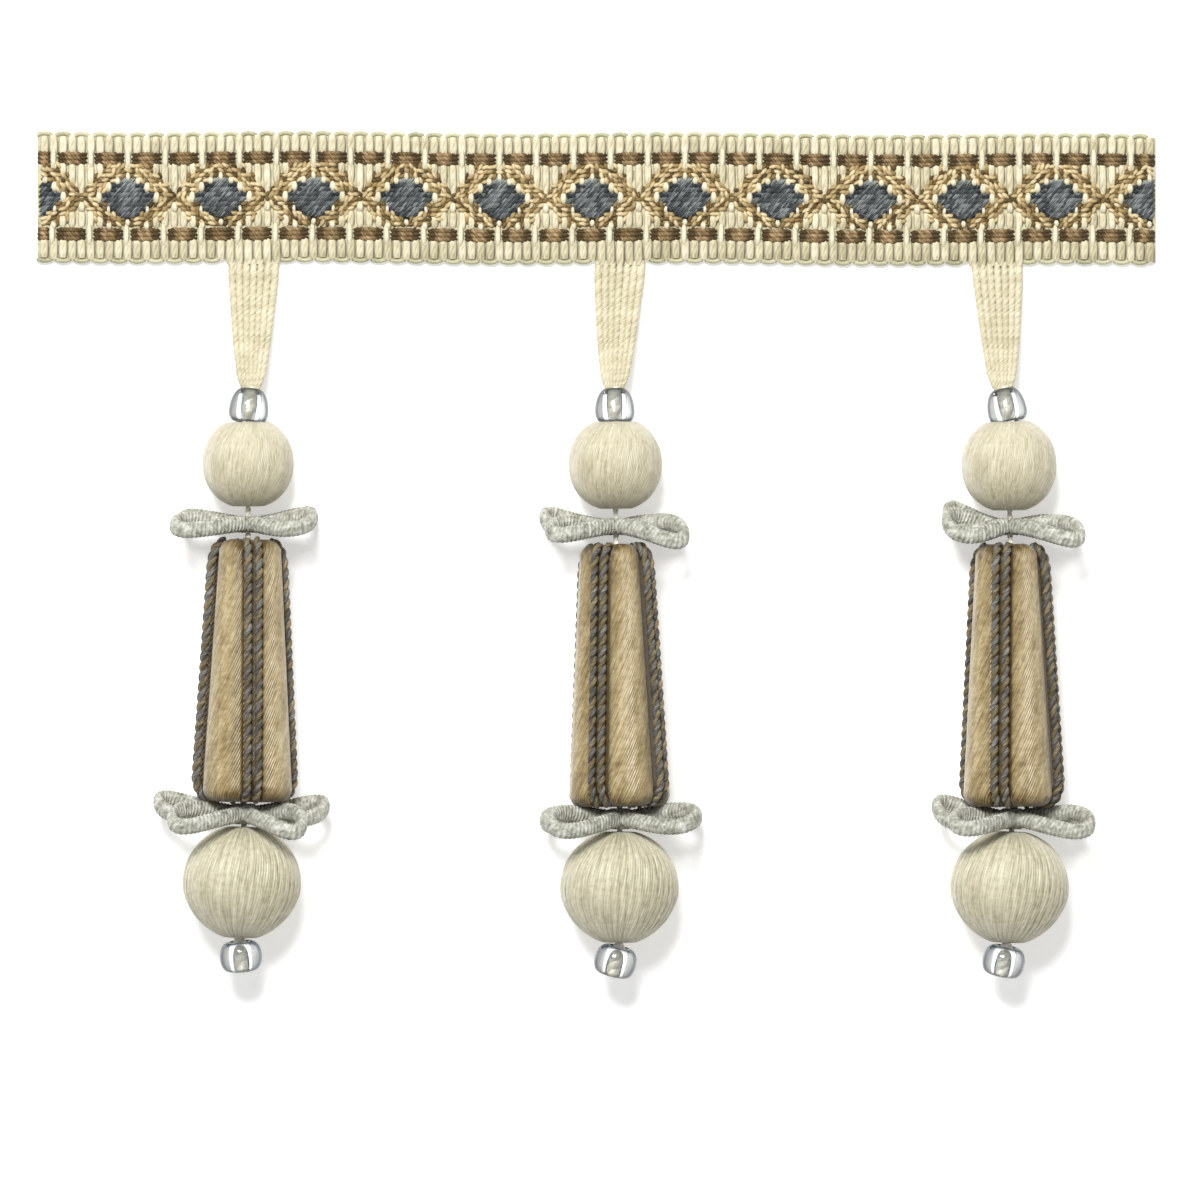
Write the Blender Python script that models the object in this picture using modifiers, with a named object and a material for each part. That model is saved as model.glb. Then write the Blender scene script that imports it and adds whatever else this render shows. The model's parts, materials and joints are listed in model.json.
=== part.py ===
"""Tassel fringe trim: a woven braid with three drops, each a gathered skein, glass beads,
thread-wound balls, looped cord rosettes and a satin cone with twisted cords.

It lies face up on a flat surface: +X runs along the braid, +Y from the drops to the braid,
and +Z away from the surface. The origin is below the middle of the whole trim.
Lengths are in millimetres, and MM turns them into metres.
"""

import math
from collections import namedtuple

import bmesh
import bpy
from mathutils import Matrix, Vector

MM = 0.001

# Braid
BRAID_HALF_LENGTH = 69.8
BRAID_TOP = 52.2
BRAID_WIDTH = 15.9
BRAID_THICKNESS = 1.5
BRAID_EDGE_HEIGHT = 0.9
RIB_PITCH = 1.16
RIB_DEPTH = 0.3
RIB_ZERO_X = -58.5
SCALLOP_DEPTH = 0.4
SELVEDGE = 0.9
BRAID_LEAN = -0.2
BRAID_WAVE = 0.12
BRAID_WAVE_LENGTH = 47.0

# Pieces threaded on each string, from the braid down
CLEARANCE = 0.3
BEAD_CLEARANCE = 0.54
STRING_RADIUS = 0.33
BORE_RADIUS = 0.7
BEAD_RADIUS, BEAD_HEIGHT = 2.45, 3.3
END_BEAD_RADIUS, END_BEAD_HEIGHT = 2.65, 3.4
LOW_BALL_RADIUS, LOW_BALL_HEIGHT = 7.32, 14.3
LOW_BALL_TAPER = 0.07
CONE_LENGTH = 32.5
LOW_ROSETTE_GAP, LOW_ROSETTE_DROP = 2.85, 0.12

# Skein
SKEIN_STRANDS = 5
SKEIN_VALLEY = 0.72

# Rosette loops, made of an oval gimp cord
GIMP_HEIGHT, GIMP_THICKNESS = 2.1, 1.5
GIMP_SIDES = 6
LOOP_STATIONS = 9
LOOP_HALF_WIDTH = 2.15
LOOP_ROOT, LOOP_ROOT_HALF_WIDTH = 1.45, 0.85
HUB_RADIUS, HUB_HEIGHT = 2.1, 1.6

# Cords of the cone
CORD_RADIUS = 0.5
CORD_PAIR_HALF_GAP = 0.71
CORD_STEPS = 20
CORD_TURN_PER_STEP = math.radians(60)
PANELS = 4
GROOVE_HALF_WIDTH, PANEL_EDGE_HALF_WIDTH = 1.6, 1.8
PANEL_EDGE_DROP, PANEL_QUARTER_DROP = 0.4, 0.1

BALL_STEPS, BEAD_STEPS, HUB_STEPS = 18, 14, 10

# A drop: where its skein leaves the braid, the string's X between the pieces, the radius of
# its upper ball, the gap that the upper rosette fills, and the turn of the cone.
Drop = namedtuple(
    "Drop",
    "root_x top_x under_bead_x upper_x lower_x under_ball_x end_x ball_radius rosette_gap cone_turn",
)
DROPS = (
    Drop(-42.8, -43.0, -43.3, -43.3, -43.7, -44.3, -44.0, 5.65, 3.95, 12.0),
    Drop(3.0, 2.2, 2.3, 2.4, 2.9, 2.8, 1.9, 5.80, 4.25, 62.0),
    Drop(50.0, 50.5, 51.2, 51.4, 51.6, 50.9, 50.2, 5.90, 4.05, 72.5),
)

Levels = namedtuple(
    "Levels", "top bead_foot ball_foot cone_top cone_foot low_ball_top low_ball_foot end"
)

# Heights of the string above the surface, at the same places as the X values of a drop
STRING_TOP_Y = 20.5
STRING_HEIGHTS = (5.1, 5.38, 5.46, 6.98, 7.02, 6.6)

# A skein's sections: share of its length, width, thickness and height above the surface
SkeinSection = namedtuple("SkeinSection", "share width thickness height")
SKEIN_SECTIONS = (
    SkeinSection(0.00, 6.3, 1.20, 0.75),
    SkeinSection(0.14, 6.0, 1.35, 0.95),
    SkeinSection(0.38, 5.3, 1.75, 1.90),
    SkeinSection(0.62, 4.5, 2.20, 3.10),
    SkeinSection(0.84, 3.6, 2.40, 4.20),
    SkeinSection(0.94, 2.8, 2.10, 4.80),
    SkeinSection(1.00, 1.8, 1.40, 5.05),
)

# The cone's rings: distance below its top, radius of a panel's crest and of a groove's floor
ConeRing = namedtuple("ConeRing", "down crest floor")
CONE_RINGS = (
    ConeRing(0.00, 3.30, 1.50),
    ConeRing(0.35, 4.15, 2.00),
    ConeRing(1.20, 4.65, 3.10),
    ConeRing(2.60, 4.73, 3.56),
    ConeRing(29.9, 6.32, 5.15),
    ConeRing(31.3, 6.40, 4.60),
    ConeRing(32.15, 5.95, 3.50),
    ConeRing(CONE_LENGTH, 5.20, 2.90),
)

# A cord's route over the cone: distance below the cone's top, and radius
CordPoint = namedtuple("CordPoint", "down radius")
CORD_ROUTE = (
    CordPoint(0.30, 3.45),
    CordPoint(1.10, 4.02),
    CordPoint(2.60, 4.50),
    CordPoint(29.9, 6.09),
    CordPoint(31.4, 5.62),
    CordPoint(32.20, 4.98),
)

# A loop of a rosette: its direction round the string (0 is photo right, 90 is up from the
# surface), its reach, and how far its tip lies towards the braid
Loop = namedtuple("Loop", "direction reach rise")
UPPER_LOOPS = (
    (Loop(26, 9.6, -0.5), Loop(156, 10.4, -0.9), Loop(202, 9.6, 1.4), Loop(-22, 9.2, 1.5)),
    (Loop(24, 9.9, -1.9), Loop(154, 9.6, -0.8), Loop(200, 10.1, 1.8), Loop(-24, 9.0, 0.9)),
    (Loop(28, 10.2, -1.8), Loop(158, 9.2, 0.4), Loop(198, 8.7, 2.5), Loop(-20, 9.2, 0.9)),
)
LOWER_LOOPS = (
    (Loop(42, 10.2, -1.9), Loop(140, 11.6, -1.4), Loop(195, 11.9, 1.5), Loop(-15, 10.9, 1.3)),
    (Loop(28, 11.2, -0.5), Loop(142, 11.2, -0.9), Loop(196, 10.4, 0.4), Loop(-18, 10.8, 0.5)),
    (Loop(22, 10.9, -0.6), Loop(136, 10.6, -1.2), Loop(192, 10.2, 1.6), Loop(-22, 9.6, 0.6)),
)


def clear_scene():
    for obj in list(bpy.data.objects):
        bpy.data.objects.remove(obj)


def collection(name):
    made = bpy.data.collections.new(name)
    bpy.context.scene.collection.children.link(made)
    return made


def material(name, colour, roughness, transmission=0.0):
    made = bpy.data.materials.new(name)
    made.use_nodes = True
    shader = made.node_tree.nodes["Principled BSDF"]
    shader.inputs["Base Color"].default_value = (*colour, 1.0)
    shader.inputs["Roughness"].default_value = roughness
    shader.inputs["Metallic"].default_value = 0.0
    shader.inputs["Transmission Weight"].default_value = transmission
    made.diffuse_color = (*colour, 1.0)
    return made


def mesh_object(name, mesh, home, look, matrix=None):
    obj = bpy.data.objects.new(name, mesh)
    home.objects.link(obj)
    obj.data.materials.append(look)
    if matrix is not None:
        obj.matrix_world = matrix
    return obj


def baked(obj):
    """A new mesh of the object as its modifiers or its bevel make it, with its ends welded."""
    bpy.context.view_layer.update()
    graph = bpy.context.evaluated_depsgraph_get()
    mesh = bpy.data.meshes.new_from_object(obj.evaluated_get(graph))
    work = bmesh.new()
    work.from_mesh(mesh)
    bmesh.ops.remove_doubles(work, verts=work.verts, dist=1e-6)
    bmesh.ops.recalc_face_normals(work, faces=work.faces)
    work.to_mesh(mesh)
    work.free()
    return mesh


def loft(name, rings, home, look, matrix=None, tube=False):
    """A solid through rings of equally many points. A tube joins its last ring to its first."""
    work = bmesh.new()
    rows = [[work.verts.new(point) for point in ring] for ring in rings]
    pairs = list(zip(rows, rows[1:]))
    if tube:
        pairs.append((rows[-1], rows[0]))
    for upper, lower in pairs:
        for i, corner in enumerate(upper):
            after = (i + 1) % len(upper)
            work.faces.new((corner, upper[after], lower[after], lower[i]))
    if not tube:
        work.faces.new(rows[0])
        work.faces.new(reversed(rows[-1]))
    bmesh.ops.recalc_face_normals(work, faces=work.faces)
    mesh = bpy.data.meshes.new(name)
    work.to_mesh(mesh)
    work.free()
    return mesh_object(name, mesh, home, look, matrix)


def turned(name, outline, steps, home, look, matrix):
    """A bored piece turned from its outer side, given top to bottom as (radius, height)."""
    bore = [(BORE_RADIUS, outline[-1][1]), (BORE_RADIUS, outline[0][1])]
    points = [Vector((radius, 0, height)) * MM for radius, height in [*outline, *bore]]
    mesh = bpy.data.meshes.new(name)
    edges = [(i, (i + 1) % len(points)) for i in range(len(points))]
    mesh.from_pydata(points, edges, [])
    obj = mesh_object(name, mesh, home, look, matrix)
    screw = obj.modifiers.new("Turn", "SCREW")
    screw.axis = "Z"
    screw.steps = screw.render_steps = steps
    screw.use_merge_vertices = True
    screw.merge_threshold = 1e-5
    screw.use_normal_calculate = True
    return obj


def settled(obj):
    """Bakes a ball and flattens the small spot on which it rests on the surface."""
    world = obj.matrix_world.copy()
    mesh = baked(obj)
    mesh.transform(world)
    for vertex in mesh.vertices:
        vertex.co.z = max(vertex.co.z, 0.0)
    obj.modifiers.clear()
    obj.data = mesh
    obj.matrix_world = Matrix.Identity(4)
    mesh.shade_smooth()


def braid_middle(x):
    """How far the braid's middle line strays from straight: it leans and waves a little."""
    wave = BRAID_WAVE * math.sin(2 * math.pi * x / BRAID_WAVE_LENGTH)
    return BRAID_LEAN * x / BRAID_HALF_LENGTH + wave


def make_braid(home, look):
    """A ribbed band with scalloped edges: one column of points for each crest and valley."""
    half_pitch = RIB_PITCH / 2
    first = round((-BRAID_HALF_LENGTH - RIB_ZERO_X) / half_pitch)
    last = round((BRAID_HALF_LENGTH - RIB_ZERO_X) / half_pitch)
    columns = last - first
    bpy.ops.mesh.primitive_grid_add(x_subdivisions=columns, y_subdivisions=3, size=2)
    grid = bpy.context.active_object.data
    bpy.data.objects.remove(bpy.context.active_object)
    middle = BRAID_TOP - BRAID_WIDTH / 2
    for vertex in grid.vertices:
        column = first + round((vertex.co.x + 1) / 2 * columns)
        row = round((vertex.co.y + 1) / 2 * 3)
        x = RIB_ZERO_X + column * half_pitch
        if column in (first, last):
            x = math.copysign(BRAID_HALF_LENGTH, x)
        side = 1 if row > 1 else -1
        at_edge = row in (0, 3)
        scallop = SCALLOP_DEPTH * abs(math.sin(math.pi * column / 4))
        reach = BRAID_WIDTH / 2 - SCALLOP_DEPTH + scallop
        if not at_edge:
            reach = BRAID_WIDTH / 2 - SELVEDGE
        height = BRAID_EDGE_HEIGHT if at_edge else BRAID_THICKNESS
        if column % 2:
            height -= RIB_DEPTH
        vertex.co = Vector((x, middle + side * reach + braid_middle(x), height)) * MM
    work = bmesh.new()
    work.from_mesh(grid)
    made = bmesh.ops.extrude_face_region(work, geom=list(work.faces))["geom"]
    under = [item for item in made if isinstance(item, bmesh.types.BMVert)]
    for vertex in under:
        vertex.co.z = 0.0
    bmesh.ops.recalc_face_normals(work, faces=work.faces)
    flat = [face for face in work.faces if face.normal.z < -0.99]
    inner = {edge for face in flat for edge in face.edges if all(f in flat for f in edge.link_faces)}
    bmesh.ops.dissolve_edges(work, edges=list(inner), use_verts=False)
    work.to_mesh(grid)
    work.free()
    grid.name = "braid"
    return mesh_object("braid", grid, home, look)


def skein_ring(section, x, y):
    """One section of a skein: round strands side by side, as crests with valleys between."""
    half = section.width / 2
    crests = []
    for i in range(2 * SKEIN_STRANDS - 1):
        across = -half + (i + 1) * section.width / (2 * SKEIN_STRANDS)
        round_off = math.sqrt(1 - (0.8 * across / half) ** 2)
        depth = section.thickness / 2 * round_off * (SKEIN_VALLEY if i % 2 else 1.0)
        crests.append((across, depth))
    outline = [(-half, 0.0), *crests, (half, 0.0)]
    outline += [(across, -depth) for across, depth in reversed(crests)]
    return [Vector((x + across, y, section.height + depth)) * MM for across, depth in outline]


def make_skein(name, drop, home, look):
    root_y = BRAID_TOP - BRAID_WIDTH - 1.2 * CLEARANCE + braid_middle(drop.root_x)
    end_y = STRING_TOP_Y + BEAD_CLEARANCE
    rings = []
    for section in SKEIN_SECTIONS:
        blend = section.share**0.8
        x = drop.root_x + (drop.top_x - drop.root_x) * blend
        rings.append(skein_ring(section, x, root_y + (end_y - root_y) * section.share))
    return loft(name, rings, home, look)


def ball_outline(radius, height, taper=0.0, rows=8):
    """A ball's outer side from its upper bore edge down; taper draws in its lower half."""
    start = math.asin((BORE_RADIUS + 0.5) / radius)
    outline = []
    for i in range(rows):
        turn = start + (math.pi - 2 * start) * i / (rows - 1)
        drawn_in = 1 - taper * max(0.0, -math.cos(turn) - 0.2) / 0.8
        scale = height / 2 / math.cos(start)
        outline.append((radius * math.sin(turn) * drawn_in, scale * math.cos(turn)))
    return outline


def bead_outline(radius, height):
    """A glass bead: a short tube with fully rounded sides."""
    shoulder = radius * 0.62
    return (
        (shoulder, height / 2),
        (radius * 0.9, height * 0.35),
        (radius, 0),
        (radius * 0.9, -height * 0.35),
        (shoulder, -height / 2),
    )


def oval_section(home):
    """The gimp cord's section, as a small closed curve that bevels the loops."""
    data = bpy.data.curves.new("gimp_section", "CURVE")
    spline = data.splines.new("POLY")
    spline.points.add(GIMP_SIDES - 1)
    for i, point in enumerate(spline.points):
        turn = 2 * math.pi * (i + 0.5) / GIMP_SIDES
        x = GIMP_THICKNESS / 2 * math.cos(turn)
        y = GIMP_HEIGHT / 2 * math.sin(turn)
        point.co = (x * MM, y * MM, 0, 1)
    spline.use_cyclic_u = True
    return helper("gimp_section", data, home)


def cord_section(home):
    """The twisted cord's three-sided section."""
    data = bpy.data.curves.new("cord_section", "CURVE")
    spline = data.splines.new("POLY")
    spline.points.add(2)
    for i, point in enumerate(spline.points):
        turn = -2 * math.pi * i / 3
        point.co = (CORD_RADIUS * math.cos(turn) * MM, CORD_RADIUS * math.sin(turn) * MM, 0, 1)
    spline.use_cyclic_u = True
    return helper("cord_section", data, home)


def helper(name, data, home):
    obj = bpy.data.objects.new(name, data)
    home.objects.link(obj)
    obj.hide_render = True
    obj.display_type = "WIRE"
    return obj


def swept(name, points, section, home, tilts=None):
    """A curve object that carries the section along the points."""
    data = bpy.data.curves.new(name, "CURVE")
    data.dimensions = "3D"
    data.twist_mode = "Z_UP"
    data.bevel_mode = "OBJECT"
    data.bevel_object = section
    data.use_fill_caps = True
    spline = data.splines.new("POLY")
    spline.points.add(len(points) - 1)
    for i, (point, place) in enumerate(zip(spline.points, points)):
        point.co = (*(Vector(place) * MM), 1)
        point.tilt = tilts[i] if tilts else 0.0
    obj = bpy.data.objects.new(name, data)
    home.objects.link(obj)
    return obj


def loop_points(loop):
    """One loop in its own frame: out along X, round its tip and back, rising in Z."""
    tip = loop.reach - GIMP_THICKNESS / 2
    points = []
    for i in range(LOOP_STATIONS):
        share = i / (LOOP_STATIONS - 1)
        swing = 2 * math.pi * share
        out = LOOP_ROOT + (tip - LOOP_ROOT) * ((1 - math.cos(swing)) / 2) ** 0.8
        belly = math.sin(swing) * math.sin(math.pi * share) ** 0.5
        root = LOOP_ROOT_HALF_WIDTH * math.cos(math.pi * share)
        side = LOOP_HALF_WIDTH * belly * 0.8 + root
        rise = loop.rise * ((out - LOOP_ROOT) / (tip - LOOP_ROOT)) ** 3
        points.append((out, side, rise))
    return points


def make_rosette(name, loops, matrix, section, home, look, helpers):
    """Four loops of gimp cord, joined to the eye that the string passes through."""
    hub_outline = ((HUB_RADIUS, HUB_HEIGHT / 2), (HUB_RADIUS, -HUB_HEIGHT / 2))
    hub = turned(name, hub_outline, HUB_STEPS, home, look, Matrix.Identity(4))
    hub.data = baked(hub)
    hub.modifiers.clear()
    for i, loop in enumerate(loops):
        curve = swept(f"{name}_loop_{i}", loop_points(loop), section, helpers)
        mesh = baked(curve)
        bpy.data.objects.remove(curve)
        mesh.transform(Matrix.Rotation(-math.radians(loop.direction), 4, "Z"))
        tool = helper(f"{name}_loop_{i}", mesh, helpers)
        union = hub.modifiers.new(f"Loop {i}", "BOOLEAN")
        union.operation = "UNION"
        union.solver = "EXACT"
        union.object = tool
    hub.data = baked(hub)
    hub.modifiers.clear()
    hub.data.shade_smooth()
    hub.data.materials.clear()
    hub.data.materials.append(look)
    hub.matrix_world = matrix
    return hub


def cone_ring(ring):
    """A section of the cone: bulging panels with a groove for two cords between them."""
    floor_turn = GROOVE_HALF_WIDTH / ring.crest
    edge_turn = PANEL_EDGE_HALF_WIDTH / ring.crest
    quarter_turn = (edge_turn + math.pi / PANELS) / 2
    whole = 2 * math.pi / PANELS
    edge_radius = max(ring.crest - PANEL_EDGE_DROP, ring.floor)
    points = []
    for panel in range(PANELS):
        steps = (
            (floor_turn, ring.floor),
            (edge_turn, edge_radius),
            (quarter_turn, ring.crest - PANEL_QUARTER_DROP),
            (whole / 2, ring.crest),
            (whole - quarter_turn, ring.crest - PANEL_QUARTER_DROP),
            (whole - edge_turn, edge_radius),
            (whole - floor_turn, ring.floor),
        )
        for turn, radius in steps:
            angle = panel * whole + turn
            place = Vector((radius * math.cos(angle), radius * math.sin(angle), -ring.down))
            points.append(place * MM)
    return points


def make_cone(name, matrix, home, look):
    rings = [cone_ring(ring) for ring in CONE_RINGS]
    for down in (CONE_LENGTH, 0.0):
        bore = []
        for point in rings[4]:
            side = Vector((point.x, point.y, 0)).normalized() * BORE_RADIUS
            bore.append(Vector((side.x, side.y, -down)) * MM)
        rings.append(bore)
    return loft(name, rings, home, look, matrix, tube=True)


def route_at(share):
    """A point of a cord's route, by its share of the route's length."""
    spans = [
        math.hypot(b.down - a.down, b.radius - a.radius) for a, b in zip(CORD_ROUTE, CORD_ROUTE[1:])
    ]
    left = share * sum(spans)
    for span, a, b in zip(spans, CORD_ROUTE, CORD_ROUTE[1:]):
        if left <= span or b is CORD_ROUTE[-1]:
            t = min(left / span, 1.0)
            return CordPoint(a.down + (b.down - a.down) * t, a.radius + (b.radius - a.radius) * t)
        left -= span


def cord_points(groove, side):
    """A cord's line beside the middle of its groove, in the cone's own frame."""
    points = []
    across = Vector((-math.sin(groove), math.cos(groove), 0)) * side * CORD_PAIR_HALF_GAP
    outward = Vector((math.cos(groove), math.sin(groove), 0))
    for i in range(CORD_STEPS + 1):
        place = route_at(i / CORD_STEPS)
        points.append(outward * place.radius + across - Vector((0, 0, place.down)))
    return points


def make_cords(stem, matrix, section, home, look):
    tilts = [i * CORD_TURN_PER_STEP for i in range(CORD_STEPS + 1)]
    for groove in range(PANELS):
        for side, word in ((-1, "a"), (1, "b")):
            points = cord_points(2 * math.pi * groove / PANELS, side)
            name = f"{stem}_cord_{groove + 1}{word}"
            cord = swept(name, points, section, home, tilts)
            cord.data.twist_mode = "MINIMUM"
            cord.data.materials.append(look)
            cord.matrix_world = matrix


def make_string(name, points, home, look):
    data = bpy.data.curves.new(name, "CURVE")
    data.dimensions = "3D"
    data.bevel_depth = STRING_RADIUS * MM
    data.bevel_resolution = 1
    data.use_fill_caps = True
    spline = data.splines.new("POLY")
    spline.points.add(len(points) - 1)
    for point, place in zip(spline.points, points):
        point.co = (*(place * MM), 1)
    data.materials.append(look)
    obj = bpy.data.objects.new(name, data)
    home.objects.link(obj)
    return obj


def string_points(drop, levels):
    """Where the string passes between the pieces, from the skein to the last bead."""
    ys = (
        levels.top,
        levels.bead_foot - BEAD_CLEARANCE / 2,
        (levels.ball_foot + levels.cone_top) / 2,
        (levels.cone_foot + levels.low_ball_top) / 2 - LOW_ROSETTE_DROP,
        levels.low_ball_foot - BEAD_CLEARANCE / 2,
        levels.end,
    )
    xs = (
        drop.top_x,
        drop.under_bead_x,
        drop.upper_x,
        drop.lower_x,
        drop.under_ball_x,
        drop.end_x,
    )
    return [Vector(place) for place in zip(xs, ys, STRING_HEIGHTS)]


def drop_levels(drop):
    """The Y of each piece's ends, from the braid down."""
    bead_foot = STRING_TOP_Y - BEAD_HEIGHT
    ball_foot = bead_foot - BEAD_CLEARANCE - 2 * drop.ball_radius
    cone_top = ball_foot - drop.rosette_gap
    cone_foot = cone_top - CONE_LENGTH
    low_ball_top = cone_foot - LOW_ROSETTE_GAP
    low_ball_foot = low_ball_top - LOW_BALL_HEIGHT
    end = low_ball_foot - BEAD_CLEARANCE - END_BEAD_HEIGHT
    top = STRING_TOP_Y
    return Levels(top, bead_foot, ball_foot, cone_top, cone_foot, low_ball_top, low_ball_foot, end)


def seat(upper, lower, y):
    """A matrix on the string's run between two points, where it passes Y, with +Z up the run."""
    place = upper.lerp(lower, (upper.y - y) / (upper.y - lower.y)) * MM
    up = (upper - lower).normalized()
    side = Vector((1, 0, 0)) - up * up.x
    side.normalize()
    turn = Matrix((side, up.cross(side), up)).transposed().to_4x4()
    return Matrix.Translation(place) @ turn


def make_drop(number, drop, home, helpers, looks, sections):
    stem = f"drop{number + 1}"
    levels = drop_levels(drop)
    top, under_bead, upper, lower, under_ball, end = string_points(drop, levels)

    make_skein(f"{stem}_skein", drop, home, looks["cream"])
    string = (top, under_bead, upper, lower, under_ball, end)
    make_string(f"{stem}_string", string, home, looks["cream"])

    bead = bead_outline(BEAD_RADIUS, BEAD_HEIGHT)
    place = seat(top, under_bead, levels.top - BEAD_HEIGHT / 2)
    turned(f"{stem}_top_bead", bead, BEAD_STEPS, home, looks["glass"], place)

    ball = ball_outline(drop.ball_radius, 2 * drop.ball_radius)
    place = seat(under_bead, upper, levels.ball_foot + drop.ball_radius)
    settled(turned(f"{stem}_upper_ball", ball, BALL_STEPS, home, looks["ball"], place))

    loops = UPPER_LOOPS[number]
    place = seat(under_bead, lower, upper.y)
    place.translation = upper * MM
    name = f"{stem}_upper_rosette"
    make_rosette(name, loops, place, sections["gimp"], home, looks["gimp"], helpers)

    spin = Matrix.Rotation(math.radians(drop.cone_turn), 4, "Z")
    place = seat(upper, lower, levels.cone_top) @ spin
    make_cone(f"{stem}_cone", place, home, looks["satin"])
    make_cords(stem, place, sections["cord"], home, looks["cord"])

    loops = LOWER_LOOPS[number]
    place = seat(upper, under_ball, lower.y)
    place.translation = lower * MM
    name = f"{stem}_lower_rosette"
    make_rosette(name, loops, place, sections["gimp"], home, looks["gimp"], helpers)

    ball = ball_outline(LOW_BALL_RADIUS, LOW_BALL_HEIGHT, LOW_BALL_TAPER)
    place = seat(lower, under_ball, levels.low_ball_foot + LOW_BALL_HEIGHT / 2)
    settled(turned(f"{stem}_lower_ball", ball, BALL_STEPS, home, looks["ball"], place))

    bead = bead_outline(END_BEAD_RADIUS, END_BEAD_HEIGHT)
    place = seat(under_ball, end, levels.end + END_BEAD_HEIGHT / 2)
    turned(f"{stem}_end_bead", bead, BEAD_STEPS, home, looks["glass"], place)


def main():
    clear_scene()
    home = collection("tassel_fringe_trim")
    helpers = collection("helpers")
    looks = {
        "braid": material("braid", (0.62, 0.55, 0.38), 0.75),
        "cream": material("cream_yarn", (0.79, 0.74, 0.55), 0.7),
        "ball": material("wound_thread", (0.66, 0.62, 0.46), 0.45),
        "satin": material("gold_satin", (0.36, 0.28, 0.15), 0.4),
        "cord": material("twisted_cord", (0.17, 0.17, 0.15), 0.6),
        "gimp": material("silver_gimp", (0.43, 0.44, 0.38), 0.55),
        "glass": material("clear_glass", (0.9, 0.92, 0.9), 0.05, transmission=1.0),
    }
    sections = {"gimp": oval_section(helpers), "cord": cord_section(helpers)}
    make_braid(home, looks["braid"])
    for number, drop in enumerate(DROPS):
        make_drop(number, drop, home, helpers, looks, sections)
    for obj in list(helpers.objects):
        if obj.type == "MESH":
            bpy.data.objects.remove(obj)


main()
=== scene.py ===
"""Tassel fringe trim, face up on a white surface, seen from straight above.

Lengths below are millimetres in the frame's axes: +X along the braid, +Y from the drops to
the braid, +Z away from the surface. Every yarn is a tube whose UV map holds the distance
along it in millimetres and the turn round it, so that its plies and fibres follow it.
"""
import json
import math

import bmesh
import bpy
import numpy as np
from mathutils import Matrix, Vector

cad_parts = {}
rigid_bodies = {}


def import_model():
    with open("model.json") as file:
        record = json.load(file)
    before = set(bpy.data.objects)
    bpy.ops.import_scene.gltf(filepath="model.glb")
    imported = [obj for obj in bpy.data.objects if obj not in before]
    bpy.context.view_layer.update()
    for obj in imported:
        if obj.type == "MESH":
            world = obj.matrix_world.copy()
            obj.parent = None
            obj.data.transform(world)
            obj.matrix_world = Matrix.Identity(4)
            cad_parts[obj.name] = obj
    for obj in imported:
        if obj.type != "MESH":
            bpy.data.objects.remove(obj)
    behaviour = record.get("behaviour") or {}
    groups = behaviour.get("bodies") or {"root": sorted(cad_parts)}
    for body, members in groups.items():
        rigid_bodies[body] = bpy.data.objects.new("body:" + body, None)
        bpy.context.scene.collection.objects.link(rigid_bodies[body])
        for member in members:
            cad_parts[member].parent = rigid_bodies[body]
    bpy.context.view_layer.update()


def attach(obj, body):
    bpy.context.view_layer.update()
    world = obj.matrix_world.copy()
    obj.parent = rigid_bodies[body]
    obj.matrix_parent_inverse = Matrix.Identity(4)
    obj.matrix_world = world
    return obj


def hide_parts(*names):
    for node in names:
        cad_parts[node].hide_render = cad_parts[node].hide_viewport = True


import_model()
MM = 0.001
RNG = np.random.default_rng(7)

# Sizes shared with the solids, where the ribs' pitch is rounded to 1.16
RIB = 1.1595
RIB_ZERO_X = -58.5
HALF_LENGTH = 69.8
BRAID_TOP, BRAID_FOOT = 52.2, 36.3
BRAID_LEAN, BRAID_WAVE, WAVE_LENGTH = -0.2, 0.12, 47.0
CONE_LENGTH = 32.5
BALL_RADII = (5.65, 5.8, 5.9)
BALL_TOP = 16.75
LOW_BALL_RADIUS, LOW_BALL_HEIGHT = 7.32, 14.3
LOW_ROSETTE_GAP = 2.85

# Where each string passes, from the skein to the last bead, as X, Y and Z
STRINGS = (
    ((-43.0, 20.5, 5.1), (-43.3, 16.98, 5.38), (-43.3, 3.48, 5.46),
     (-43.7, -32.49, 6.98), (-44.3, -48.38, 7.02), (-44.0, -52.0, 6.6)),
    ((2.2, 20.5, 5.1), (2.3, 16.98, 5.38), (2.4, 3.18, 5.46),
     (2.9, -33.09, 6.98), (2.8, -48.97, 7.02), (1.9, -52.6, 6.6)),
    ((50.5, 20.5, 5.1), (51.2, 16.98, 5.38), (51.4, 3.18, 5.46),
     (51.6, -33.09, 6.98), (50.9, -48.97, 7.02), (50.2, -52.6, 6.6)),
)
CONE_TOPS = (1.5, 0.9, 0.9)
CONE_TURNS = (12.0, 62.0, 72.5)
SKEIN_ROOTS = (-42.8, 3.0, 50.0)

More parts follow.
